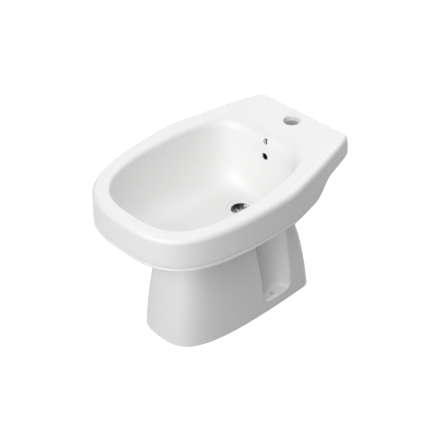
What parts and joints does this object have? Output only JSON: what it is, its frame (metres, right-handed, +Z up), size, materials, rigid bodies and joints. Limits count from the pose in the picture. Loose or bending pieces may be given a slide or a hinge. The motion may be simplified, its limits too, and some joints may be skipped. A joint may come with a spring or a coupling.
{
  "type": "floor standing bidet",
  "caption": "Floor standing bidet in white glazed china: broad rim with a tap deck, oval bowl, deep skirt, flared hollow pedestal, slotted waste and bottle trap.",
  "frame": {"origin": "on the floor, under the middle of the bounding box", "axes": "+X towards the viewer's right when facing the front, +Y from the front of the rim towards the wall, +Z up"},
  "size_m": [0.364, 0.524, 0.353],
  "materials": {
    "china": "white gloss glaze",
    "white_plastic": "moulded white polypropylene",
    "rubber": "matt black",
    "steel": "polished stainless steel"
  },
  "bodies": {
    "root": {"china_rim": "china", "china_skirt": "china", "china_bowl": "china", "china_pedestal": "china", "waste_flange": "white_plastic", "waste_strainer": "steel", "waste_screw": "steel", "upper_gasket": "rubber", "lower_gasket": "rubber", "waste_body": "white_plastic", "inlet_nut": "white_plastic", "inlet_washer": "rubber", "dip_tube": "white_plastic", "head_nut": "white_plastic", "head_washer": "rubber", "trap_body": "white_plastic", "cup_seal": "rubber", "trap_cup": "white_plastic", "outlet_nut": "white_plastic", "outlet_washer": "rubber", "outlet_pipe": "white_plastic"}
  },
  "joints": []
}
